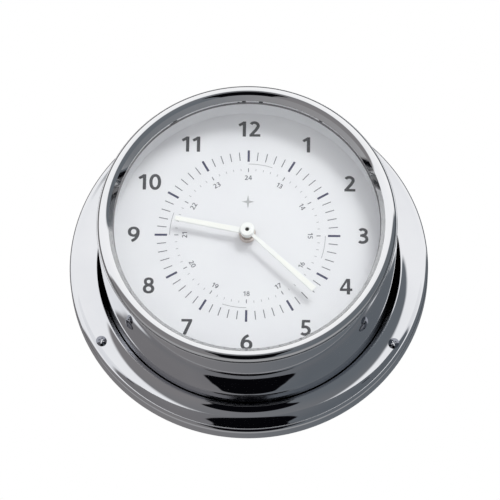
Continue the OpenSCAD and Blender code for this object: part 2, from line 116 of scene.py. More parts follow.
def profile(*stations):
    """Arcs (centre, radius, start, end) and lines (from, to) of a profile in (r, z).

    A station is a corner (r, z), a filleted corner (r, z, fillet) or
    an arc (r, z, radius, start degrees, end degrees) about a centre.
    The profile is closed, unless it starts on the axis: then the axis itself is left out.
    """
    ends = []
    for s in stations:
        if len(s) == 5:
            ends.append([on_circle(*s[:3], math.radians(a)) for a in s[3:]])
        else:
            ends.append((s[:2], s[:2]))
    count = len(stations)
    spans = []
    for i, station in enumerate(stations):
        entry, leave = ends[i]
        arc = None
        if len(station) == 5:
            arc = (np.array(station[:2]), station[2], *map(math.radians, station[3:]))
        elif len(station) == 3:
            corner = np.array(entry, float)
            back = np.array(ends[i - 1][1], float) - corner
            ahead = np.array(ends[(i + 1) % count][0], float) - corner
            back_len, ahead_len = np.linalg.norm(back), np.linalg.norm(ahead)
            back, ahead = back / back_len, ahead / ahead_len
            half = math.acos(max(-1, min(1, float(back @ ahead)))) / 2
            # a fillet takes less than half of either side
            reach = min(station[2] / math.tan(half), back_len * 0.49, ahead_len * 0.49)
            radius = reach * math.tan(half)
            entry, leave = corner + back * reach, corner + ahead * reach
            bisector = (back + ahead) / np.linalg.norm(back + ahead)
            centre = corner + bisector * (radius / math.sin(half))
            start = math.atan2(*(entry - centre)[::-1])
            end = math.atan2(*(leave - centre)[::-1])
            sweep = (end - start + math.pi) % (2 * math.pi) - math.pi
            arc = (centre, radius, start, start + sweep)
        spans.append((entry, leave, arc))
    pieces = []
    for i, (_, leave, arc) in enumerate(spans):
        if arc:
            pieces.append(arc)
        p, q = np.array(leave, float), np.array(spans[(i + 1) % count][0], float)
        if np.linalg.norm(q - p) > 1e-6:
            pieces.append((p, q))
    return pieces[:-1] if stations[0][0] == 0 else pieces


def strips(pieces, step):
    """(point, normal, point, normal) per strip; the outside is on the right of the travel"""
    out = []
    for piece in pieces:
        if len(piece) == 2:
            p, q = piece
            along = (q - p) / np.linalg.norm(q - p)
            normal = (along[1], -along[0])
            out.append((p, normal, q, normal))
            continue
        centre, radius, start, end = piece
        count = max(2, int(abs(math.degrees(end - start)) / step + 0.999))
        side = 1 if end > start else -1
        marks = []
        for i in range(count + 1):
            t = start + (end - start) * i / count
            marks.append((on_circle(*centre, radius, t), (side * math.cos(t), side * math.sin(t))))
        out += [(*a, *b) for a, b in zip(marks[:-1], marks[1:])]
    return out


def lathe(name, pieces, segs=192, matrix=LOCAL, step=7.0):
    """turn a profile about z; step is the angle in degrees between points on an arc"""
    on_axis = 1e-5
    turns = [2 * math.pi * i / segs for i in range(segs)]
    turns = [(math.cos(a), math.sin(a)) for a in turns]
    verts, rings, faces, normals = [], {}, [], []

    def ring(r, z):
        key = (round(r, 5), round(z, 5))
        if key not in rings:
            first = len(verts)
            if r < on_axis:
                rings[key] = [first] * segs
                verts.append((0, 0, z))
            else:
                rings[key] = [first + i for i in range(segs)]
                verts.extend((r * c, r * s, z) for c, s in turns)
        return rings[key]

    for p0, n0, p1, n1 in strips(pieces, step):
        ring0, ring1 = ring(*p0), ring(*p1)
        if ring0 is ring1:
            continue
        for i in range(segs):
            j = (i + 1) % segs
            corners = [(ring0, n0, i), (ring0, n0, j), (ring1, n1, j), (ring1, n1, i)]
            if p0[0] < on_axis:
                del corners[1]
            elif p1[0] < on_axis:
                del corners[2]
            faces.append(tuple(rim[k] for rim, _, k in corners))
            normals += [(n[0] * turns[k][0], n[0] * turns[k][1], n[1]) for _, n, k in corners]
    mesh = bpy.data.meshes.new(name)
    mesh.from_pydata([matrix @ Vector(v) for v in verts], [], faces)
    rotation = matrix.to_3x3().normalized()
    mesh.polygons.foreach_set("use_smooth", [True] * len(mesh.polygons))
    mesh.normals_split_custom_set([(rotation @ Vector(n)).normalized() for n in normals])
    mesh.update()
    return mesh


# ------------------------------------------------------------------ shader graphs
class Graph:
    """the node tree of a material or world, emptied"""

    def __init__(self, owner):
        owner.use_nodes = True
        self.tree = owner.node_tree
        self.tree.nodes.clear()

    def node(self, kind, inputs=None, **settings):
        """inputs are keyed by socket: another socket is linked, a plain value is stored"""
        made = self.tree.nodes.new("ShaderNode" + kind)
        for key, value in settings.items():
            setattr(made, key, value)
        for key, value in (inputs or {}).items():
            if isinstance(value, bpy.types.NodeSocket):
                self.tree.links.new(value, made.inputs[key])
            else:
                made.inputs[key].default_value = value
        return made

    def coords(self, scale=(1, 1, 1)):
        place = self.node("TexCoord").outputs["Object"]
        return self.node("Mapping", {"Vector": place, "Scale": scale}).outputs["Vector"]

    def axes(self, vector):
        return self.node("SeparateXYZ", {0: vector}).outputs

    def ramp(self, value, span, to=(0.0, 1.0), **settings):
        """map span onto to"""
        return self.node("MapRange", {"Value": value, "From Min": span[0], "From Max": span[1],
                                      "To Min": to[0], "To Max": to[1]}, **settings).outputs["Result"]

    def soft_ramp(self, value, span, to=(0.0, 1.0)):
        return self.ramp(value, span, to, interpolation_type="SMOOTHSTEP")

    def mix(self, factor, a, b):
        """blend two colours, each a socket or an RGB tuple"""
        a, b = ((*c, 1) if isinstance(c, tuple) else c for c in (a, b))
        return self.node("Mix", {0: factor, 6: a, 7: b}, data_type="RGBA").outputs[2]

    def noise(self, vector, scale, detail=3.0, rough=0.5):
        return self.node("TexNoise", {"Vector": vector, "Scale": scale, "Detail": detail,
                                      "Roughness": rough}).outputs["Fac"]

    def math(self, operation, a, b=None):
        inputs = {0: a} if b is None else {0: a, 1: b}
        return self.node("Math", inputs, operation=operation).outputs[0]

    def surface(self, inputs, height=None, strength=0.0, distance=0.0):
        """finish a material as a Principled surface, bumped by height if it is given"""
        if height:
            inputs["Normal"] = self.node("Bump", {"Height": height, "Strength": strength,
                                                  "Distance": distance}).outputs["Normal"]
        shader = self.node("BsdfPrincipled", inputs).outputs[0]
        self.node("OutputMaterial", {0: shader})


MATS = {}


def new_material(name):
    MATS[name] = bpy.data.materials.new(name)
    return Graph(MATS[name])


def chrome(name, tint_a, tint_b, rough=(0.02, 0.05), peel_depth=6e-5):
    """polished plate: a faint film in colour and gloss, and a very slight orange peel"""
    g = new_material(name)
    place = g.coords()
    film = g.noise(place, scale=55, detail=4.0, rough=0.55)
    smear = g.noise(place, scale=880, detail=3.0, rough=0.6)
    tint = g.mix(g.ramp(film, span=(0.35, 0.65)), tint_a, tint_b)
    gloss = g.math("MULTIPLY", g.ramp(film, span=(0.35, 0.7), to=(0.6, 1.0)),
                   g.ramp(smear, span=(0.3, 0.75), to=rough))
    g.surface({"Metallic": 1.0, "Base Color": tint, "Roughness": gloss},
              height=g.noise(place, scale=90, detail=2.0, rough=0.4),
              strength=0.25, distance=peel_depth)


def plastic(name, tint_a, tint_b, rough=(0.35, 0.5), grain=900, depth=3e-5, specular=0.45,
            metallic=0.0, coat=0.0):
    """moulded or painted surface with fine grain, uneven gloss and slight colour drift"""
    g = new_material(name)
    place = g.coords()
    drift = g.noise(place, scale=70)
    fine = g.noise(place, scale=grain, detail=4.0, rough=0.6)
    tint = g.mix(g.ramp(drift, span=(0.3, 0.7)), tint_a, tint_b)
    g.surface({"Metallic": metallic, "Specular IOR Level": specular, "Coat Weight": coat,
               "Base Color": tint, "Roughness": g.ramp(fine, span=(0.3, 0.7), to=rough)},
              height=fine, strength=0.5, distance=depth)


def worn_metal(name, tint_a, tint_b, rough=(0.18, 0.35), metallic=1.0, line=(4000, 60, 4000)):
    """turned or stamped metal with fine drawn lines, scaled by line, and a little tarnish"""
    g = new_material(name)
    tarnish = g.noise(g.coords(), scale=260, detail=4.0, rough=0.6)
    lines = g.noise(g.coords(line), scale=1.0, detail=2.0, rough=0.6)
    tint = g.mix(g.ramp(tarnish, span=(0.35, 0.68)), tint_a, tint_b)
    g.surface({"Metallic": metallic, "Base Color": tint,
               "Roughness": g.ramp(lines, span=(0.3, 0.7), to=rough)},
              height=lines, strength=0.3, distance=1e-5)


def clear_glass():
    """flat glass: clear, with the surface reflection kept and almost no darkening behind"""
    g = new_material("clear_glass")
    clear = g.node("BsdfTransparent", {"Color": (0.985, 0.992, 0.99, 1)}).outputs[0]
    smear = g.noise(g.coords(), scale=160, detail=4, rough=0.6)
    rough = g.ramp(smear, span=(0.35, 0.75), to=(0.0, 0.03))
    gloss = g.node("BsdfGlossy", {"Roughness": rough}).outputs[0]
    fresnel = g.node("Fresnel", {"IOR": 1.42}).outputs[0]
    share = g.math("MULTIPLY", fresnel, 0.75)  # the reflection is held back a little
    g.node("OutputMaterial", {0: g.node("MixShader", {0: share, 1: clear, 2: gloss}).outputs[0]})


def groove_slope():
    """inner slope of the raised lip: shiny plating at the bottom, near-black painted shade up the
    sides and over the top
    """
    g = new_material("groove_slope")
    height = g.axes(g.node("NewGeometry").outputs["Position"])[2]
    # painted shade: near-black from world z -0.013 m upwards, the plating shows only below -0.036 m
    plating_clear_of_painted_shade = g.soft_ramp(height, span=(-0.0360, -0.0130), to=(1.0, 0.0))  # world z, metres
    rough = g.ramp(g.noise(g.coords(), scale=260), span=(0.3, 0.7), to=(0.06, 0.16))
    g.surface({"Metallic": 1.0, "Roughness": rough,
               "Base Color": g.mix(plating_clear_of_painted_shade, (0.012, 0.012, 0.013), (0.76, 0.77, 0.80))})


def arbor_steel():
    """steel with painted shade: near-black and dull inside the hollow front end of the minute arbor
    """
    hollow_r, hollow_y = 0.00058, -0.0338  # radius, and the world y its floor lies at, metres
    g = new_material("arbor_steel")
    place = g.coords()
    x, y, z = g.axes(place)
    squares = g.math("ADD", g.math("MULTIPLY", x, x), g.math("MULTIPLY", z, z))
    inside = g.math("MULTIPLY", g.math("LESS_THAN", g.math("SQRT", squares), hollow_r),
                    g.math("LESS_THAN", y, hollow_y))
    fine = g.noise(place, scale=900)
    dull = g.math("MULTIPLY", inside, 0.6)  # roughness added inside
    # the near-black, non-metal colour inside the hollow is painted shade for the depth of the bore
    g.surface({"Base Color": g.mix(inside, (0.66, 0.64, 0.62), (0.004, 0.004, 0.004)),
               "Metallic": g.math("SUBTRACT", 1.0, inside),
               "Roughness": g.math("ADD", dull, g.ramp(fine, span=(0.3, 0.7), to=(0.08, 0.18)))},
              height=fine, strength=0.2, distance=1e-5)


# Tables of materials. Columns left off the end of a row take the function's defaults.
# name, tint a, tint b, roughness range, depth of the orange peel in metres
CHROMES = [
    ("chrome", (0.83, 0.835, 0.85), (0.87, 0.875, 0.885)),
    ("bezel_chrome", (0.88, 0.885, 0.89), (0.91, 0.91, 0.915)),
    ("dark_screw", (0.30, 0.31, 0.35), (0.38, 0.39, 0.43), (0.10, 0.22), 1e-4),
    ("warm_steel", (0.74, 0.64, 0.58), (0.80, 0.71, 0.65), (0.05, 0.12), 6e-5),
    ("polished_steel", (0.66, 0.64, 0.62), (0.72, 0.70, 0.68), (0.06, 0.14), 8e-5),
    ("steel_can", (0.62, 0.62, 0.63), (0.70, 0.70, 0.71), (0.12, 0.25), 6e-5),
]
# name, tint a, tint b, roughness range, metallic, scale of the drawn lines
WORN_METALS = [
    ("back_metal", (0.64, 0.63, 0.60), (0.54, 0.53, 0.51), (0.35, 0.6), 1.0, (700, 700, 700)),
    ("brass", (0.78, 0.56, 0.26), (0.66, 0.45, 0.20)),
    ("screw_steel", (0.62, 0.63, 0.65), (0.50, 0.51, 0.53)),
    ("magnet", (0.20, 0.20, 0.21), (0.14, 0.14, 0.15), (0.4, 0.6), 0.8),
    ("stator_steel", (0.50, 0.50, 0.51), (0.42, 0.41, 0.40)),
    ("copper", (0.80, 0.36, 0.16), (0.66, 0.28, 0.12), (0.25, 0.4), 1.0, (9000, 60, 60)),
    ("contact_metal", (0.72, 0.70, 0.64), (0.60, 0.58, 0.52)),
]
# name, tint a, tint b, roughness range, grain scale, grain depth in metres, specular,
# metallic, coat
PLASTICS = [
    ("rubber", (0.018, 0.018, 0.018), (0.03, 0.03, 0.03), (0.6, 0.8), 1400, 6e-5, 0.3),
    ("hand_white", (0.88, 0.88, 0.86), (0.91, 0.91, 0.89), (0.3, 0.42), 2400, 1e-5, 0.35),
    ("jacket_band", (0.55, 0.55, 0.56), (0.60, 0.60, 0.61), (0.25, 0.38), 600, 1e-5, 0.5, 0.2, 0.4),
    ("gasket", (0.15, 0.15, 0.155), (0.19, 0.19, 0.195), (0.5, 0.7), 1400, 4e-5, 0.3),
    # groove: near-black, painted shade for the depth of the gap round the drum
    ("groove", (0.006, 0.006, 0.007), (0.020, 0.019, 0.018), (0.55, 0.8), 700, 8e-5, 0.1),
    ("white_ring", (0.80, 0.80, 0.82), (0.84, 0.84, 0.86), (0.30, 0.45), 1200, 1e-5, 0.4),
    ("dial_silver", (0.795, 0.79, 0.815), (0.815, 0.812, 0.83), (0.42, 0.55), 5200, 1.2e-5, 0.3),
    ("black_plastic", (0.020, 0.020, 0.022), (0.030, 0.030, 0.032), (0.42, 0.62), 2600, 4e-5),
    ("wheel_plastic", (0.80, 0.79, 0.72), (0.84, 0.83, 0.77), (0.35, 0.5), 2000),
    ("hand_cream", (0.86, 0.86, 0.80), (0.89, 0.89, 0.83), (0.35, 0.5), 2400, 1e-5, 0.3),
    ("bobbin_plastic", (0.03, 0.04, 0.07), (0.04, 0.05, 0.08)),
    ("pcb", (0.02, 0.13, 0.07), (0.03, 0.16, 0.08), (0.3, 0.45), 1800),
    ("chip_resin", (0.012, 0.012, 0.013), (0.02, 0.02, 0.02), (0.15, 0.3), 1400),
    ("battery_jacket", (0.03, 0.13, 0.28), (0.04, 0.15, 0.31), (0.22, 0.34), 600, 1e-5, 0.5,
     0.2, 0.4),
    ("print_dark", (0.060, 0.060, 0.066), (0.075, 0.075, 0.082), (0.4, 0.55), 4000, 4e-6, 0.3),
    ("print_blue", (0.055, 0.055, 0.110), (0.070, 0.070, 0.125), (0.4, 0.55), 4000, 4e-6, 0.3),
    ("print_grey", (0.30, 0.30, 0.32), (0.34, 0.34, 0.36), (0.4, 0.55), 4000, 4e-6, 0.3),
    ("print_mid", (0.16, 0.16, 0.18), (0.19, 0.19, 0.21), (0.4, 0.55), 4000, 4e-6, 0.3),
    ("print_pale", (0.42, 0.42, 0.43), (0.48, 0.48, 0.49), (0.4, 0.55), 4000, 4e-6, 0.3),
    ("lume", (0.90, 0.895, 0.85), (0.92, 0.915, 0.875), (0.6, 0.8), 3000, 3e-5, 0.2),
    # bore_black: near-black, painted shade for the depth of a bore
    ("bore_black", (0.004, 0.004, 0.004), (0.008, 0.008, 0.008), (0.5, 0.7), 2000),
]
for build, rows in ((chrome, CHROMES), (worn_metal, WORN_METALS), (plastic, PLASTICS)):
    for row in rows:
        build(*row)
clear_glass()
groove_slope()
arbor_steel()

# parts that keep their CAD mesh
for part in frame["record"].get("subparts", []):
    part_mats = NODES[part["node"]].data.materials
    part_mats.clear()
    is_arbor = part["node"] == "minute_arbor"
    part_mats.append(MATS["arbor_steel" if is_arbor else part["material_slot"]])

# ------------------------------------------------------------------ case: the turned parts
flange = add("flange", lathe("flange", profile(
    (46.6, 0, 0.15), (59.45, 0.0, 0.3), (60.0, 0.55, 0.3),
    # rounded rim, hollow sweep and raised lip
    (58.63, 4.827, 1.37, 0, 98), (56.65, 14.010, 8.0, 278, 270), (56.65, 24.260, 18.25, 270, 268),
    (56.694, 25.509, 19.5, 268, 263), (55.475, 15.583, 9.5, 263, 255),
    (54.724, 12.782, 6.6, 255, 241), (51.22, 7.16, 0.30), (50.85, 7.14, 0.20),
    # inner slope, groove round the drum and sleeve inside it
    (49.55, 5.84, 0.05), (49.55, DRUM_BACK), (SLEEVE_R, DRUM_BACK), (SLEEVE_R, 9, 0.2),
    (46.6, 9, 0.2)), 288, step=1.5), "chrome", "mounting_flange")
drum = add("drum", lathe("drum", profile(
    (DRUM_BORE_R, DRUM_BACK, 0.1), (DRUM_R, DRUM_BACK, 0.15), (DRUM_R, DRUM_FRONT, 0.28),
    (DRUM_BORE_R, DRUM_FRONT, 0.05)), 288, step=6), "chrome", "case_drum")
add("bezel_ring", lathe("bezel_ring", profile(
    (47.0, 34.0, 0.1), (SLEEVE_R, 34.0, 0.2), (SLEEVE_R, DRUM_FRONT), (48.6, DRUM_FRONT),
    (48.6, 41.95), (48.95, 41.95, 0.03), (46.9, 41.5, 2.1, 13, 112),
    (47.087, 41.036, 2.6, 112, 133), (43.95, 41.25, 0.1), (43.95, BEZEL_SEAT),
    (47.0, BEZEL_SEAT)), 288, step=2.5), "bezel_chrome", "bezel")


def repaint(obj, material, test):
    """faces whose centre passes test(r, z) take another material"""
    mesh = obj.data
    mesh.materials.append(MATS[material])
    index = len(mesh.materials) - 1
    to_local = LOCAL.inverted()
    for face in mesh.polygons:
        centre = to_local @ face.center
        if test(math.hypot(centre.x, centre.y), centre.z):
            face.material_index = index


# the groove between the drum and the raised lip is painted near-black as shade deep in the gap, and
# its inner slope carries painted shade up the sides; the back is unplated
repaint(flange, "groove", lambda r, z: 48.1 < r < 49.65 and z < 5.8)
repaint(flange, "groove_slope", lambda r, z: 49.5 < r < 50.8 and 5.8 <= z < 7.08)
repaint(flange, "back_metal", lambda r, z: (r < 59.3 and z < 0.2) or r <= 48.3)
repaint(drum, "back_metal", lambda r, z: r < 48.4 and z < 41.3)

add("glass_pane", lathe("glass_pane", profile(
    (0, GLASS_BACK), (GLASS_R, GLASS_BACK, 0.2), (GLASS_R, GLASS_FRONT, 0.2),
    (0, GLASS_FRONT))), "clear_glass", "glass")
add("gasket", lathe("gasket", profile(
    (REFLECTOR_IN_R, REFLECTOR_FRONT, 0.12), (46.95, REFLECTOR_FRONT, 0.1),
    (46.95, BEZEL_SEAT, 0.05), (43.66, BEZEL_SEAT, 0.1), (43.66, GLASS_FRONT, 0.08),
    (GLASS_R, GLASS_FRONT), (GLASS_R, GLASS_BACK), (REFLECTOR_IN_R, GLASS_BACK, 0.1))),
    "gasket", "glass_gasket")
add("reflector", lathe("reflector", profile(
    (44.0, DIAL_FRONT), (DIAL_R, DIAL_FRONT), (DIAL_R, 33.9), (REFLECTOR_OUT_R, 33.9),
    (REFLECTOR_OUT_R, REFLECTOR_FRONT, 0.1), (REFLECTOR_IN_R, REFLECTOR_FRONT, 0.15),
    (44.3, 31.9, 0.5))), "white_ring", "reflector_ring")
add("dial", lathe("dial", profile(
    (2.1, DIAL_BACK), (DIAL_R, DIAL_BACK), (DIAL_R, DIAL_FRONT, 0.05),
    (2.1, DIAL_FRONT, 0.1))), "dial_silver", "dial_plate")


# ------------------------------------------------------------------ outlines
def ellipse_arc(cx, cy, rx, ry, start, end, n=28):
    """n + 1 points, angles in degrees counter-clockwise from +x"""
    angles = [math.radians(start + (end - start) * i / n) for i in range(n + 1)]
    return [(cx + rx * math.cos(a), cy + ry * math.sin(a)) for a in angles]


def arc(cx, cy, r, n, start, end):
    return ellipse_arc(cx, cy, r, r, start, end, n)


def hole(cx, cy, r, n):
    """a full clockwise circle of n points"""
    return arc(cx, cy, r, n, 0, 360)[:-1][::-1]


def rounded_rect(x0, y0, x1, y1, r, n=5):
    return (arc(x1 - r, y0 + r, r, n, -90, 0) + arc(x1 - r, y1 - r, r, n, 0, 90) +
            arc(x0 + r, y1 - r, r, n, 90, 180) + arc(x0 + r, y0 + r, r, n, 180, 270))


def turn(degrees):
    """a function that turns points clockwise about the dial centre"""
    c, s = math.cos(math.radians(degrees)), math.sin(math.radians(degrees))
    return lambda x, y: (x * c + y * s, -x * s + y * c)


def same(x, y):
    return x, y


def facing_up(tri, points):
    """the triangle with its corners counter-clockwise"""
    a, b, c = (points[k] for k in tri)
    area = (b[0] - a[0]) * (c[1] - a[1]) - (b[1] - a[1]) * (c[0] - a[0])
    return tuple(tri[::-1] if area < 0 else tri)


# ------------------------------------------------------------------ numerals
# Digits are strokes joined by a distance field, negative inside, with the cap height as unit.
def segment_distance(X, Y, a, b):
    dx, dy = b[0] - a[0], b[1] - a[1]
    t = np.clip(((X - a[0]) * dx + (Y - a[1]) * dy) / (dx * dx + dy * dy + 1e-12), 0, 1)
    return np.hypot(X - a[0] - t * dx, Y - a[1] - t * dy)


def poly_field(X, Y, points):
    distance = np.full(X.shape, 1e9)
    inside = np.zeros(X.shape, bool)
    for a, b in zip(points, points[1:] + points[:1]):
        distance = np.minimum(distance, segment_distance(X, Y, a, b))
        if a[1] != b[1]:
            left = X < (b[0] - a[0]) * (Y - a[1]) / (b[1] - a[1]) + a[0]
            inside ^= ((a[1] > Y) != (b[1] > Y)) & left
    return np.where(inside, -distance, distance)


def rect_field(X, Y, x0, y0, x1, y1):
    return poly_field(X, Y, [(x0, y0), (x1, y0), (x1, y1), (x0, y1)])


def stroke_field(X, Y, points, width, square_start, square_end):
    """stroke along points; ends are square where asked, else round"""
    field = np.full(X.shape, 1e9)
    for a, b in zip(points[:-1], points[1:]):
        field = np.minimum(field, segment_distance(X, Y, a, b))
    field = field - width / 2
    ends = ((square_start, points[0], points[1]), (square_end, points[-1], points[-2]))
    for square, p, q in ends:
        if square:
            ux, uy = p[0] - q[0], p[1] - q[1]
            near = np.hypot(X - p[0], Y - p[1]) < width
            over = ((X - p[0]) * ux + (Y - p[1]) * uy) / math.hypot(ux, uy)
            field = np.where(near, np.maximum(field, over), field)
    return field


def ring_field(X, Y, cx, cy, rx, ry, side_width, end_width):
    """squarish oval ring"""
    power = 2.15

    def oval(ax, ay):
        q = (np.abs((X - cx) / ax) ** power + np.abs((Y - cy) / ay) ** power) ** (1 / power)
        return (q - 1) * min(ax, ay)

    return np.maximum(oval(rx, ry), -oval(rx - side_width, ry - end_width))


# shapes of each digit in order: a field function and its arguments; "cut" takes a polygon away
GLYPHS = {
    "0": [(ring_field, 0.33, 0.5, 0.33, 0.515, 0.168, 0.148)],
    "1": [(rect_field, 0.255, 0, 0.425, 1.0),
          (poly_field, [(0.425, 1.0), (0.285, 1.0), (0.0, 0.815), (0.07, 0.685), (0.30, 0.80)])],
    "2": [(stroke_field, ellipse_arc(0.285, 0.715, 0.225, 0.222, 148, -8, 30) +
           [(0.47, 0.60), (0.39, 0.46), (0.12, 0.12)], 0.162, True, False),
          (rect_field, 0.02, 0, 0.63, 0.148)],
    "3": [(stroke_field, ellipse_arc(0.27, 0.745, 0.205, 0.192, 142, -88, 30), 0.155, True, False),
          (stroke_field, ellipse_arc(0.262, 0.288, 0.250, 0.222, 88, -138, 30), 0.160, False, True),
          (rect_field, 0.14, 0.45, 0.30, 0.592)],
    "4": [(poly_field, [(0.36, 1.0), (0.565, 1.0), (0.565, 0.365), (0.69, 0.365), (0.69, 0.222),
                        (0.565, 0.222), (0.565, 0), (0.40, 0), (0.40, 0.222), (0.0, 0.222),
                        (0.0, 0.345)]),
          ("cut", [(0.402, 0.83), (0.402, 0.365), (0.135, 0.365)])],
    "5": [(stroke_field, ellipse_arc(0.262, 0.315, 0.250, 0.247, 112, -138, 34), 0.160, False, True),
          (rect_field, 0.105, 0.852, 0.555, 1.0),
          (poly_field, [(0.105, 1.0), (0.25, 1.0), (0.225, 0.55), (0.075, 0.47)])],
    "6": [(ring_field, 0.34, 0.312, 0.325, 0.325, 0.165, 0.142),
          (stroke_field, ellipse_arc(0.56, 0.34, 0.475, 0.585, 188, 104), 0.160, False, True)],
    "7": [(rect_field, 0.02, 0.852, 0.61, 1.0),
          (poly_field, [(0.61, 1.0), (0.61, 0.87), (0.275, 0.0), (0.09, 0.0), (0.43, 0.86)])],
    "8": [(ring_field, 0.33, 0.752, 0.268, 0.262, 0.152, 0.135),
          (ring_field, 0.33, 0.283, 0.315, 0.297, 0.160, 0.142)],
}
WIDTH = {"0": 0.66, "1": 0.425, "2": 0.64, "3": 0.60, "4": 0.69,
         "5": 0.60, "6": 0.67, "7": 0.62, "8": 0.66, "9": 0.67}
GAP, GAP_AFTER_1 = 0.13, 0.215
GLYPH_STEP = 0.0125  # grid on which outlines are traced
SPREAD = 0.009  # outlines are traced this far outside the field


def glyph_field(digit, X, Y):
    if digit == "9":
        return glyph_field("6", WIDTH["9"] - X, 1.0 - Y)
    field = None
    for shape, *data in GLYPHS[digit]:
        if shape == "cut":
            field = np.maximum(field, -poly_field(X, Y, *data))
        else:
            part = shape(X, Y, *data)
            field = part if field is None else np.minimum(field, part)
    return field


@functools.cache
def contour(digit):
    """closed loops of the digit's outline, by marching squares"""
    xs = np.arange(-0.08, 0.80, GLYPH_STEP) + 0.0007
    ys = np.arange(-0.08, 1.09, GLYPH_STEP) + 0.0009
    X, Y = np.meshgrid(xs, ys)
    field = glyph_field(digit, X, Y) - SPREAD
    field = np.where(np.abs(field) < 1e-6, 1e-6, field)

    def crossing(kind, i, j):
        """where the outline crosses a horizontal or vertical grid edge"""
        i1, j1 = (i + 1, j) if kind == "h" else (i, j + 1)
        t = field[j, i] / (field[j, i] - field[j1, i1])
        return xs[i] + (xs[i1] - xs[i]) * t, ys[j] + (ys[j1] - ys[j]) * t

    follows = {}  # grid edge -> next grid edge along the outline
    for j in range(len(ys) - 1):
        for i in range(len(xs) - 1):
            inside = [field[j, i] < 0, field[j, i + 1] < 0,
                      field[j + 1, i + 1] < 0, field[j + 1, i] < 0]
            if all(inside) or not any(inside):
                continue
            edges = [("h", i, j), ("v", i + 1, j), ("h", i, j + 1), ("v", i, j)]
            crossed = [k for k in range(4) if inside[k] != inside[(k + 1) % 4]]
            if len(crossed) == 2:
                pairs = [crossed[::-1] if inside[crossed[0]] else crossed]
            else:
                pairs = [((k - 1) % 4, k) for k in range(4) if inside[k]]
            for a, b in pairs:
                follows[edges[a]] = edges[b]
    loops = []
    while follows:
        first, following = follows.popitem()
        trail = [first]
        while following != first and following in follows:
            trail.append(following)
            following = follows.pop(following)
        spaced = []
        for p in (crossing(*edge) for edge in trail):
            if not spaced or math.dist(p, spaced[-1]) > GLYPH_STEP * 0.25:
                spaced.append(p)
        loop = []  # without points that lie on a straight run
        n = len(spaced)
        for k in range(n):
            p, q, r = spaced[k - 1], spaced[k], spaced[(k + 1) % n]
            bend = abs((q[0] - p[0]) * (r[1] - p[1]) - (q[1] - p[1]) * (r[0] - p[0]))
            if bend > 1e-7 or n < 12:
                loop.append(q)
        if len(loop) > 5:
            loops.append(loop)
    return loops


def signed_area(loop):
    return sum(loop[i - 1][0] * loop[i][1] - loop[i][0] * loop[i - 1][1]
               for i in range(len(loop))) / 2


def glyph_groups(digit):
    """outlines of a digit, each as a list with the holes that lie in it"""
    loops = [loop for loop in contour(digit) if abs(signed_area(loop)) > 0.0005]
    sign = signed_area(max(loops, key=lambda loop: abs(signed_area(loop))))
    holes = [loop for loop in loops if signed_area(loop) * sign < 0]
    for outline in loops:
        if signed_area(outline) * sign > 0:
            xs, ys = zip(*outline)
            yield [outline] + [h for h in holes if min(xs) < h[0][0] < max(xs)
                               and min(ys) < h[0][1] < max(ys)]


class Ink:
    """thin raised print on the dial, built as closed solids"""
    back, front = DIAL_FRONT - 0.005, DIAL_FRONT + 0.02

    def __init__(self):
        self.verts, self.faces = [], []

    def fill(self, loops, place=same):
        rings = [[Vector((*place(*p), 0)) for p in loop] for loop in loops]
        points = [p for ring in rings for p in ring]
        base, n = len(self.verts), len(points)
        self.verts += [(p.x, p.y, z) for z in (self.front, self.back) for p in points]
        for tri in tessellate_polygon(rings):
            tri = facing_up(tri, points)
            self.faces.append(tuple(base + k for k in tri))
            self.faces.append(tuple(base + n + k for k in tri[::-1]))
        start = base
        for ring in rings:
            m = len(ring)
            for i in range(m):
                a, b = start + i, start + (i + 1) % m
                self.faces.append((a, a + n, b + n, b))
            start += m

    def text(self, digits, cx, cy, height, rot=0.0, stretch=1.0, spacing=1.0):
        """digits centred on (cx, cy), turned clockwise by rot degrees"""
        width = 0
        starts = []
        for i, digit in enumerate(digits):
            starts.append(width)
            width += WIDTH[digit] * stretch
            if i < len(digits) - 1:
                width += (GAP_AFTER_1 if digit == "1" else GAP) * spacing
        rotate = turn(rot)
        for digit, start in zip(digits, starts):
            def place(x, y, start=start):
                u, v = rotate((x * stretch + start - width / 2) * height, (y - 0.5) * height)
                return cx + u, cy + v

            for loops in glyph_groups(digit):
                self.fill(loops, place)

    def tick(self, degrees, inner, outer, width):
        ux, uy = clock_point(1, degrees)
        corners = ((inner, -width / 2), (inner, width / 2), (outer, width / 2),
                   (outer, -width / 2))
        self.fill([[(ux * r + uy * s, uy * r - ux * s) for r, s in corners]])

    def band(self, start, end, r, width, n=16):
        sweep = end - start
        outer = [clock_point(r + width / 2, start + sweep * i / n) for i in range(n + 1)]
        inner = [clock_point(r - width / 2, end - sweep * i / n) for i in range(n + 1)]
        self.fill([outer + inner])

    def add(self, name, material):
        add(name, mesh_from(name, self.verts, self.faces), material)


# hour: how far its numeral sits off its exact place (x, y), mm
NUMERAL_OFFSET = {1: (0, -0.25), 2: (0.6, -0.3), 3: (0, 0.1), 4: (-0.4, 1.1),
                  5: (0.4, 0.45), 6: (0.25, 0.45), 7: (-0.35, 0.45), 8: (0.85, 1.0),
                  9: (0.6, 0), 10: (0.35, -0.1), 11: (-0.25, -0.25), 12: (0.1, 0.25)}
NUMERAL_R, NUMERAL_HEIGHT = 38.1, 5.40
DAY_NUMERAL_R, DAY_NUMERAL_HEIGHT = 20.7, 1.60
STAR_Y = 12.05

ink = Ink()
for hour, (dx, dy) in NUMERAL_OFFSET.items():
    x, y = clock_point(NUMERAL_R, 30 * hour)
    ink.text(str(hour), x + dx, y + dy, NUMERAL_HEIGHT, stretch=1.07)
ink.add("dial_numerals", "print_dark")

ink = Ink()
for hour in range(12):
    ink.tick(30 * hour, inner=26.5, outer=30.6, width=0.74)
ink.add("dial_hour_marks", "print_blue")

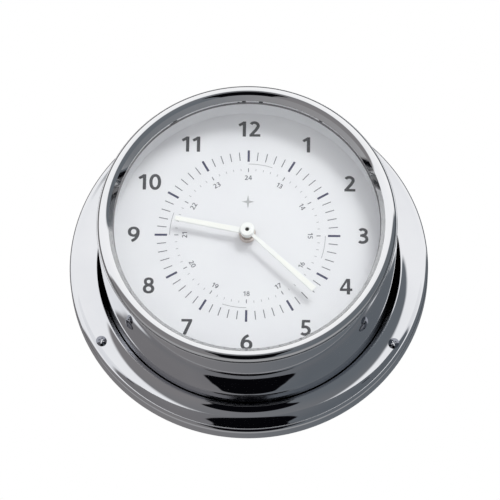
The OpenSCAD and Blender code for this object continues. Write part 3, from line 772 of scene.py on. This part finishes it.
between_hours = [6 * k for k in range(60) if k % 5]
ink = Ink()
for angle in between_hours:
    ink.tick(angle, inner=26.9, outer=29.95, width=0.30)
ink.add("dial_minute_marks", "print_mid")

ink = Ink()
for angle in between_hours:
    ink.tick(angle, inner=23.2, outer=24.0, width=0.17)
for angle in (0, 90, 180, 270):
    ink.band(angle, angle + 18, r=25.65, width=0.17)
ink.add("dial_day_marks", "print_grey")

# the ring of hours 13 to 24, upright over the lower half
ink = Ink()
for hour in range(12):
    angle = 30 * hour
    x, y = clock_point(DAY_NUMERAL_R, angle)
    flip = 180 if 90 < angle < 270 else 0
    ink.text(str(12 + hour if hour else 24), x, y, DAY_NUMERAL_HEIGHT, angle + flip,
             stretch=1.04, spacing=0.9)
    ink.tick(angle, inner=22.75, outer=24.1, width=0.30)
ink.add("dial_day_numerals", "print_mid")

# four-pointed star above the centre: kites that meet in the middle
ink = Ink()
for angle in (0, 90, 180, 270):
    ux, uy = clock_point(1, angle)
    point = 2.5 if angle % 180 == 0 else 2.1
    kite = ((point, 0), (0.42, 0.42), (0, 0), (0.42, -0.42))
    ink.fill([[(ux * r + uy * s, STAR_Y + uy * r - ux * s) for r, s in kite]])
ink.add("dial_star", "print_pale")


# ------------------------------------------------------------------ flat parts and screws
def inset(loop, width):
    """the loop moved inward, with very sharp corners held back"""
    out, n = [], len(loop)
    for i in range(n):
        p, q, r = np.array(loop[i - 1]), np.array(loop[i]), np.array(loop[(i + 1) % n])
        u = (q - p) / max(np.linalg.norm(q - p), 1e-9)
        v = (r - q) / max(np.linalg.norm(r - q), 1e-9)
        normal_u, normal_v = np.array((-u[1], u[0])), np.array((-v[1], v[0]))
        middle = normal_u + normal_v
        length = np.linalg.norm(middle)
        middle = normal_u if length < 1e-6 else middle / length
        out.append(tuple(q + middle * width * (1 / max(0.45, float(middle @ normal_u)))))
    return out


def slab(name, loops, z0, z1, bevel=0.08, place=same, matrix=LOCAL):
    """A plate with chamfered edges.

    The first loop is the outside and runs counter-clockwise; holes run clockwise.
    """
    small = [inset(loop, bevel) for loop in loops]
    full = [place(*p) for loop in loops for p in loop]
    face = [place(*p) for loop in small for p in loop]
    n = len(full)
    levels = [(face, z1), (full, z1 - bevel), (full, z0 + bevel), (face, z0)]
    verts = [(x, y, z) for points, z in levels for x, y in points]
    faces = []
    for tri in tessellate_polygon([[Vector((*p, 0)) for p in loop] for loop in small]):
        tri = facing_up(tri, face)
        faces.append(tri)
        faces.append(tuple(3 * n + k for k in tri[::-1]))
    start = 0
    for loop in loops:
        m = len(loop)
        for i in range(m):
            a, b = start + i, start + (i + 1) % m
            for q in range(3):
                faces.append((q * n + a, (q + 1) * n + a, (q + 1) * n + b, q * n + b))
        start += m
    return smooth(mesh_from(name, verts, faces, matrix))


def join(name, shells, materials=()):
    """one mesh out of several closed shells; a shell may be (mesh, material index)"""
    bm = bmesh.new()
    for shell in shells:
        mesh, index = shell if isinstance(shell, tuple) else (shell, 0)
        first = len(bm.faces)
        bm.from_mesh(mesh)
        bm.faces.ensure_lookup_table()
        for face in bm.faces[first:]:
            face.material_index = index
            face.smooth = True
    out = bpy.data.meshes.new(name)
    bm.to_mesh(out)
    bm.free()
    drop_custom_normals(out)
    for material in materials:
        out.materials.append(MATS[material])
    out.set_sharp_from_angle(angle=SMOOTH_ANGLE)
    return out


def drop_custom_normals(mesh):
    if "custom_normal" in mesh.attributes:
        mesh.attributes.remove(mesh.attributes["custom_normal"])


def cut_with(mesh, cutters):
    """the mesh less the cutters, as a new mesh"""
    drop_custom_normals(mesh)
    for cutter in cutters:
        solid = bpy.data.objects.new("cut_a", mesh)
        tool = bpy.data.objects.new("cut_b", cutter)
        scene.collection.objects.link(solid)
        scene.collection.objects.link(tool)
        boolean = solid.modifiers.new("cut", "BOOLEAN")
        boolean.operation = "DIFFERENCE"
        boolean.solver = "EXACT"
        boolean.object = tool
        bpy.context.view_layer.update()
        graph = bpy.context.evaluated_depsgraph_get()
        mesh = bpy.data.meshes.new_from_object(solid.evaluated_get(graph))
        bpy.data.objects.remove(solid)
        bpy.data.objects.remove(tool)
    return mesh


def wedge(width0, length0, width1, length1, z0, z1, matrix, rot):
    """tapered block with one size at z0 and another at z1"""
    place = turn(rot)
    verts = [(*place(sx * length / 2, sy * width / 2), z)
             for width, length, z in ((width0, length0, z0), (width1, length1, z1))
             for sx, sy in ((-1, -1), (1, -1), (1, 1), (-1, 1))]
    return mesh_from("wedge", verts, [(3, 2, 1, 0), (4, 5, 6, 7), (0, 1, 5, 4), (1, 2, 6, 5),
                                      (2, 3, 7, 6), (3, 0, 4, 7)], matrix)


def threaded(core_r, crest_r, z0, z1, pitch, matrix, tip):
    """threaded shank from its end at z0 up to z1, tapered to a point over the length tip"""
    segs, rows_per_turn = 20, 5
    rows = int((z1 - z0) / pitch * rows_per_turn)
    verts, faces = [], []
    for i in range(rows + 1):
        z = z0 + (z1 - z0) * i / rows
        taper = min(1.0, (z - z0) / tip + 0.06) if tip else 1.0
        fade = max(0.0, min(1.0, (z1 - z) / (0.8 * pitch)))  # the thread runs out at the top
        for j in range(segs):
            a = 2 * math.pi * j / segs
            phase = ((z - z0) / pitch - j / segs) % 1.0
            ridge = max(0.0, 1 - abs(phase - 0.5) / 0.34)
            r = (core_r + (crest_r - core_r) * ridge * fade) * taper
            verts.append((r * math.cos(a), r * math.sin(a), z))
    for i in range(rows):
        low, high = i * segs, (i + 1) * segs
        for j in range(segs):
            k = (j + 1) % segs
            faces.append((low + j, low + k, high + k, high + j))
    faces.append(tuple(range(segs))[::-1])
    faces.append(tuple(rows * segs + j for j in range(segs)))
    return mesh_from("thread", verts, faces, matrix)


def screw(matrix, under, dome, head_r, thread_r, core_r, end, plain, pitch, rot, tip=0.0,
          sink=0.0, slot_length=2.5, slot_width=0.52, slot_depth=0.62):
    """Cross-head screw along +z, as a list of shells.

    The domed head stands above under and is countersunk below it by sink.
    The thread runs from end up to plain.
    """
    top = under + dome
    sphere_r = (head_r ** 2 + dome ** 2) / (2 * dome)
    half = math.degrees(math.asin(min(1.0, head_r / sphere_r)))
    foot = under - sink
    edge = (head_r - 0.05, under - 0.05) if sink else (head_r - 0.06, under - 0.02)
    head = lathe("head", profile(
        (0, foot - 0.02), (thread_r, foot - 0.02), edge, (head_r, under),
        (0, top - sphere_r, sphere_r, 90 - half, 90)), 40, matrix, 5.0)
    head = cut_with(head, [
        wedge(slot_width * 0.6, slot_length * 0.62, slot_width, slot_length,
              top - slot_depth, top + 0.3, matrix, rot + quarter) for quarter in (0, 90)])
    shank = lathe("shank", profile(
        (0, plain), (core_r, plain), (thread_r, plain + 0.1), (thread_r, foot + 0.1),
        (0, foot + 0.1)), 24, matrix)
    return [head, shank, threaded(core_r, thread_r, end, plain + 0.05, pitch, matrix, tip)]


# ------------------------------------------------------------------ hands
def hand_outline(hub_r, root_half, tip_half, length, corner=0.18):
    """round hub and a straight-sided blade towards +y with its tip corners cut off"""
    meet = math.degrees(math.atan2(math.sqrt(hub_r * hub_r - root_half * root_half), root_half))
    return ([(tip_half, length - corner), (tip_half - corner, length),
             (-tip_half + corner, length), (-tip_half, length - corner)] +
            arc(0, 0, hub_r, 40, 180 - meet, 360 + meet))


def add_hand(body, degrees, outline, bore, back, front, lume, extra=()):
    """bore is (radius, points); lume is half width and y at its root, then at its tip"""
    place = turn(degrees)
    root_half, root_y, tip_half, tip_y = lume
    name = f"{body}_hand_plate"
    plate = slab("plate", [outline, hole(0, 0, *bore)], back, front, 0.09, place)
    add(name, join(name, [plate, *extra]), "hand_white", f"{body}_hand", body)
    strip = [(root_half, root_y), (tip_half, tip_y), (-tip_half, tip_y), (-root_half, root_y)]
    add(f"{body}_hand_lume", slab(f"{body}_lume", [strip], front - 0.04, front + 0.035, 0.03, place),
        "lume", body=body)


MINUTE_BORE, HOUR_BORE = 0.72, 1.32
add_hand("minute", MINUTES * 6, hand_outline(2.2, 0.62, 1.1, 30.4), (MINUTE_BORE, 28),
         MINUTE_BACK, MINUTE_FRONT, lume=(0.52, 13.5, 0.80, 29.9))
collar = lathe("collar", profile((HOUR_BORE, 33.9), (1.9, 33.9), (1.9, 34.8, 0.12),
                                 (HOUR_BORE, 34.8)), 48)
add_hand("hour", HOURS * 30 + MINUTES / 2, hand_outline(2.3, 1.05, 0.86, 24.5), (HOUR_BORE, 32),
         HOUR_BACK, HOUR_FRONT, lume=(0.74, 5.5, 0.60, 24.05), extra=[collar])
add("hand_cap", lathe("hand_cap", profile(
    (MINUTE_BORE, MINUTE_FRONT, 0.02), (2.42, MINUTE_FRONT, 0.1), (2.42, 36.6, 0.28),
    (MINUTE_BORE, 36.6, 0.12)), 64, step=10), "hand_white", "hand_nut", "minute")

# round nut on the dial with four notches across its face
nut = lathe("centre_ring_nut", profile(
    (2.03, DIAL_FRONT, 0.05), (2.75, DIAL_FRONT, 0.08), (2.75, 33.6, 0.30), (2.03, 33.6, 0.08)), 64)
nut = smooth(cut_with(nut, [wedge(0.5, 7, 0.5, 7, 33.15, 34.2, LOCAL, a) for a in (20, 110)]))
nut.materials.clear()
add("centre_ring_nut", nut, "warm_steel", "centre_nut")

# ------------------------------------------------------------------ screws of the case
shells = []
for i, angle in enumerate((0, 120, 240)):
    x, y = clock_point(56, angle)
    shells += screw(LOCAL @ Matrix.Translation((x, y, 0)), under=5.98, dome=0.62, head_r=2.0,
                    thread_r=1.1, core_r=0.85, end=-11.95, plain=-0.4, pitch=0.75, tip=2.6,
                    rot=27 + 38 * i, sink=0.85)
add("flange_screw_set", join("flange_screw_set", shells), "dark_screw",
    "flange_screws")

# radial screws through the side of the drum
shells = []
for i, angle in enumerate((0, 129, 231)):
    outward = (LOCAL @ Matrix.Translation((0, 0, 28.5)) @
               Matrix.Rotation(math.radians(-angle), 4, "Z") @
               Matrix.Rotation(math.radians(-90), 4, "X"))
    shells += screw(outward, under=49.38, dome=0.72, head_r=2.0, thread_r=1.0, core_r=0.8,
                    end=45.6, plain=48.4, pitch=0.5, rot=20 + 31 * i, slot_length=2.4)
add("case_screw_set", join("case_screw_set", shells), "dark_screw", "case_screws")

# ------------------------------------------------------------------ back of the movement
COVER_BACK, COVER_FRONT = 13.6, 15.1
ROOT = COVER_BACK + 0.1  # mouldings on the back face reach this far into the cover
CORNERS = [(-24.5, 24.5), (24.5, 24.5), (-24.5, -9), (24.5, -9)]


def raised_ring(x, y, inner, outer, back, fillets, segs):
    """ring that stands off the back face of the cover"""
    return lathe("ring", profile((inner, back, fillets[0]), (outer, back, fillets[1]),
                                 (outer, ROOT, 0.02), (inner, ROOT, 0.02)),
                 segs, LOCAL @ Matrix.Translation((x, y, 0)))


cover = [slab("plate", [rounded_rect(-28, -12.35, 28, 28, 1.6), hole(KNOB_X, 0, 0.85, 24)] +
              [hole(x, y, 0.9, 20) for x, y in CORNERS], COVER_BACK, COVER_FRONT, 0.22),
         raised_ring(KNOB_X, 0, 5.5, 6.4, 12.95, (0.12, 0.2), 64)]
cover += [raised_ring(x, y, 1.95, 2.7, 13.2, (0.1, 0.15), 36) for x, y in CORNERS]
# stiffening ribs and a turning arrow round the setting knob
cover += [slab("rib", [rounded_rect(-20.5, y - 0.35, -4.0, y + 0.35, 0.3)], 13.3, ROOT, 0.1)
          for y in (6.5, 11.0, 15.5, 20.0)]
sweep = arc(KNOB_X, 0, 9.4, 20, 25, 120) + arc(KNOB_X, 0, 8.6, 20, 120, 25)
x, y = on_circle(KNOB_X, 0, 9.0, math.radians(120))
arrow_head = [(x + 1.2, y + 1.1), (x - 2.2, y - 0.75), (x + 0.15, y - 1.75)]
cover.append(slab("sweep", [sweep], 13.35, ROOT, 0.08))
cover.append(slab("arrow_head", [arrow_head], 13.35, ROOT, 0.06))
add("back_cover", join("back_cover", cover), "black_plastic",
    "movement_rear_cover")

# these screws are turned over, with their heads to the back
shells = []
for i, (x, y) in enumerate(CORNERS):
    backward = LOCAL @ Matrix.Translation((x, y, 26.2)) @ Matrix.Rotation(math.pi, 4, "X")
    shells += screw(backward, under=12.6, dome=0.55, head_r=1.6, thread_r=0.8, core_r=0.62,
                    end=6.1, plain=12.0, pitch=0.55, tip=1.4, rot=15 + 40 * i,
                    slot_length=1.9, slot_width=0.42, slot_depth=0.45)
add("back_cover_screw_set", join("back_cover_screw_set", shells), "screw_steel",
    "rear_cover_screws")

# setting knob: fluted grip, dished back face with a bar across it
FLUTES, FLUTE_POINTS = 24, 240
grip = []
for i in range(FLUTE_POINTS):
    a = 2 * math.pi * i / FLUTE_POINTS
    r = 4.7 - 0.30 * max(0.0, math.cos(FLUTES * a)) ** 1.5
    grip.append((KNOB_X + r * math.cos(a), r * math.sin(a)))
dish = profile((0, 10.15), (3.25, 10.15, 0.3), (3.25, 12.2, 0.05), (1.6, 12.2), (1.6, 12.8, 0.1),
               (0, 12.8))
knob = [slab("grip", [grip, hole(KNOB_X, 0, 3.2, 60)], 9.6, 12.25, 0.22),
        lathe("dish", dish, 48, LOCAL @ Matrix.Translation((KNOB_X, 0, 0))),
        slab("bar", [rounded_rect(KNOB_X - 1.8, -0.35, KNOB_X + 1.8, 0.35, 0.3)], 9.8, 10.3, 0.1)]
add("knob", join("knob", knob), "black_plastic", "setting_knob", "setting")

# ------------------------------------------------------------------ cell and coiled contact
# the cell lies along x, its own z pointing right to the button end
CELL = LOCAL @ Matrix.Translation((0, -19.4, 21.6)) @ Matrix.Rotation(math.radians(90), 4, "Y")
jacket = profile((0, -23.75), (6.86, -23.75, 0.25), (6.86, 12.0, 0.02), (0, 12.0))
band = profile((0, 12.0), (6.88, 12.0), (6.88, 23.2, 0.3), (6.2, 23.55, 0.2), (0, 23.5))
flat_end = profile((0, -24.3), (6.0, -24.3, 0.3), (6.4, -23.6, 0.2), (0, -23.6))
button_end = profile((0, 23.4), (5.6, 23.4), (5.6, 23.75, 0.15), (2.75, 23.75, 0.2),
                     (2.75, 24.6, 0.25), (2.3, 24.8, 0.1), (0, 24.8))
cell = [(lathe("jacket", jacket, 72, CELL), 0), (lathe("band", band, 72, CELL), 1),
        (lathe("flat_end", flat_end, 60, CELL), 2), (lathe("button_end", button_end, 60, CELL), 2)]
add("cell", join("cell", cell, ("battery_jacket", "jacket_band", "steel_can")), None,
    "battery")


def coil():
    """conical spring against the flat end of the cell"""
    turns, steps, sides = 3.2, 110, 8
    verts, faces = [], []
    for i in range(steps + 1):
        t = i / steps
        a = 2 * math.pi * turns * t
        coil_r, coil_z = 3.25 - 1.35 * t, -25.62 + 0.9 * t
        for q in range(sides):
            b = 2 * math.pi * q / sides
            r = coil_r + 0.22 * math.cos(b)
            verts.append((r * math.cos(a), r * math.sin(a), coil_z + 0.2 * math.sin(b)))
    for i in range(steps):
        here, ahead = i * sides, (i + 1) * sides
        for q in range(sides):
            k = (q + 1) % sides
            faces.append((here + q, ahead + q, ahead + k, here + k))
    faces.append(tuple(range(sides)))
    faces.append(tuple(steps * sides + q for q in range(sides))[::-1])
    return mesh_from("spring", verts, faces, CELL)


# the plate behind the spring is drawn in local (y, z) and extruded towards -x
SIDE = LOCAL @ Matrix(((0, 0, -1, 0), (1, 0, 0, 0), (0, 1, 0, 0), (0, 0, 0, 1)))
plate = slab("plate", [rounded_rect(-24.5, 17.5, -14.3, 26.1, 0.6)], 25.82, 26.18, matrix=SIDE)
add("coil_contact", join("coil_contact", [coil(), plate]), "contact_metal",
    "battery_contact_negative")

# softened edges of parts that keep their CAD mesh: bevel width, mm
EDGE_WIDTHS = {"movement_front_case": 0.25, "stator": 0.08, "circuit_board": 0.06,
               "battery_contact_positive": 0.06, "train_bridge": 0.08}
for name, width in EDGE_WIDTHS.items():
    if name in NODES:
        edge = NODES[name].modifiers.new("edge", "BEVEL")
        edge.width = width * MM
        edge.segments = 2
        edge.limit_method = "ANGLE"
        edge.angle_limit = math.radians(50)
        edge.harden_normals = False

# ------------------------------------------------------------------ camera
# It looks up at the clock from below. Angles turn the clock into the camera's view.
TILT, ROLL, YAW = math.radians(22.53), math.radians(-0.93), math.radians(-1.31)
SHIFT_X, SHIFT_Y = -0.36, -6.31  # where the aim point falls in the view, mm
DISTANCE, AIM_Z = 1500.0, 2.0  # from the aim point, and its local z, mm


def add_camera():
    cos_y, sin_y = math.cos(YAW), math.sin(YAW)
    cos_t, sin_t = math.cos(TILT), math.sin(TILT)
    cos_r, sin_r = math.cos(ROLL), math.sin(ROLL)
    yaw = np.array([[cos_y, 0, sin_y], [0, 1, 0], [-sin_y, 0, cos_y]])
    tilt = np.array([[1, 0, 0], [0, cos_t, sin_t], [0, -sin_t, cos_t]])
    roll = np.array([[cos_r, -sin_r, 0], [sin_r, cos_r, 0], [0, 0, 1]])
    view = roll @ tilt @ yaw
    x, y, z = view.T @ np.array([-SHIFT_X, -SHIFT_Y, DISTANCE]) + np.array([0, 0, AIM_Z])
    data = bpy.data.cameras.new("camera")
    camera = bpy.data.objects.new("camera", data)
    scene.collection.objects.link(camera)
    data.sensor_width = 36.0
    data.lens = 322.0056
    data.clip_start = 0.05
    data.clip_end = 20
    axes = Matrix([TO_WORLD.to_3x3() @ Vector(row) for row in view]).transposed()
    camera.matrix_world = Matrix.Translation((x * MM, -z * MM, y * MM)) @ axes.to_4x4()
    scene.camera = camera


add_camera()


# ------------------------------------------------------------------ world
def build_world():
    """studio surroundings as seen in reflections, with plainer light for diffuse surfaces"""
    world = bpy.data.worlds.new("studio")
    scene.world = world
    g = Graph(world)
    x, y, z = g.axes(g.node("TexCoord").outputs["Generated"])
    # grey room, warmer on the left, and a white field in front above a slanting horizon
    room = g.mix(g.soft_ramp(x, span=(-0.45, 0.45)), (0.215, 0.208, 0.215), (0.135, 0.150, 0.168))
    white = g.mix(g.soft_ramp(z, span=(0.0, 1.0)), (0.895, 0.905, 0.93), (0.99, 0.99, 1.0))
    horizon = g.math("ADD", g.math("MULTIPLY", x, 0.26), 0.20)  # its slope and middle height
    above = g.soft_ramp(g.math("SUBTRACT", z, horizon), span=(-0.02, 0.05))
    front = g.soft_ramp(y, span=(0.35, 0.05))
    sky = g.mix(g.math("MULTIPLY", above, front), room, white)
    # paler patch underneath; elevation runs from 0 in front to -90 degrees straight down
    elevation = g.math("ARCTAN2", z, g.math("MULTIPLY", y, -1.0))
    near_edge, far_edge = (tuple(map(math.radians, pair)) for pair in ((-74, -82), (-134, -124)))
    below = g.math("MULTIPLY", g.soft_ramp(elevation, near_edge),
                   g.soft_ramp(elevation, far_edge))
    sky = g.mix(below, sky, (0.34, 0.34, 0.35))
    # dark flags a little behind the wall, which draw the thin dark line at each outer edge
    behind = g.math("MULTIPLY", g.soft_ramp(y, span=(0.08, 0.13)),
                    g.soft_ramp(y, span=(0.34, 0.28)))
    flag = g.math("MULTIPLY", behind, g.soft_ramp(z, span=(-0.30, -0.18)))
    sky = g.mix(flag, sky, (0.004, 0.004, 0.005))
    # dark camera and stand: a round-ended upright bar, its half width 13 to 14 degrees
    bar_bottom, bar_top = math.radians(-60), math.radians(-22.5)
    nearest = g.math("MINIMUM", g.math("MAXIMUM", elevation, bar_bottom), bar_top)
    closeness = g.math(
        "ADD", g.math("MULTIPLY", g.math("MULTIPLY", y, -1.0), g.math("COSINE", nearest)),
        g.math("MULTIPLY", z, g.math("SINE", nearest)))
    bar_edge = (math.cos(math.radians(14.0)), math.cos(math.radians(13.0)))
    sky = g.mix(g.soft_ramp(closeness, bar_edge), sky, (0.002, 0.002, 0.003))
    # soft top light for diffuse surfaces and plain white behind everything
    rays = g.node("LightPath").outputs
    soft = g.mix(g.soft_ramp(z, span=(-0.25, 0.6)), (0.52, 0.52, 0.53), (1.42, 1.41, 1.44))
    sky = g.mix(rays["Is Diffuse Ray"], sky, soft)
    sky = g.mix(rays["Is Camera Ray"], sky, (1.0, 1.0, 1.0))
    g.node("OutputWorld", {0: g.node("Background", {"Color": sky}).outputs[0]})


build_world()


# ------------------------------------------------------------------ key light, floor, output
def add_key_light(place, target, size, energy):
    """round lamp at the upper right in front, unseen in reflections"""
    data = bpy.data.lights.new("key", "AREA")
    data.shape = "DISK"
    data.size = size
    data.energy = energy
    data.color = (1, 1, 1)
    key = bpy.data.objects.new("key", data)
    scene.collection.objects.link(key)
    key.location = place
    key.rotation_euler = (Vector(target) - Vector(place)).to_track_quat("-Z", "Y").to_euler()
    key.visible_glossy = False
    key.visible_camera = False


add_key_light(place=(0.48, -1.035, 0.89), target=(0, -0.03, 0), size=0.7, energy=20.0)
scene.view_settings.view_transform = "Standard"
scene.view_settings.look = "None"
scene.view_settings.exposure = 0.0
scene.view_settings.gamma = 1.0

FLOOR_HALF, FLOOR_Z = 6, -1.0  # metres
plastic("floor_paper", (0.86, 0.86, 0.86), (0.88, 0.88, 0.88), rough=(0.8, 0.9), grain=60,
        depth=1e-4, specular=0.1)
floor_mesh = bpy.data.meshes.new("floor")
floor_mesh.from_pydata([(sx * FLOOR_HALF, sy * FLOOR_HALF, FLOOR_Z)
                        for sx, sy in ((-1, -1), (1, -1), (1, 1), (-1, 1))], [], [(0, 1, 2, 3)])
floor_mesh.materials.append(MATS["floor_paper"])
floor = bpy.data.objects.new("floor", floor_mesh)
scene.collection.objects.link(floor)
floor.visible_glossy = False
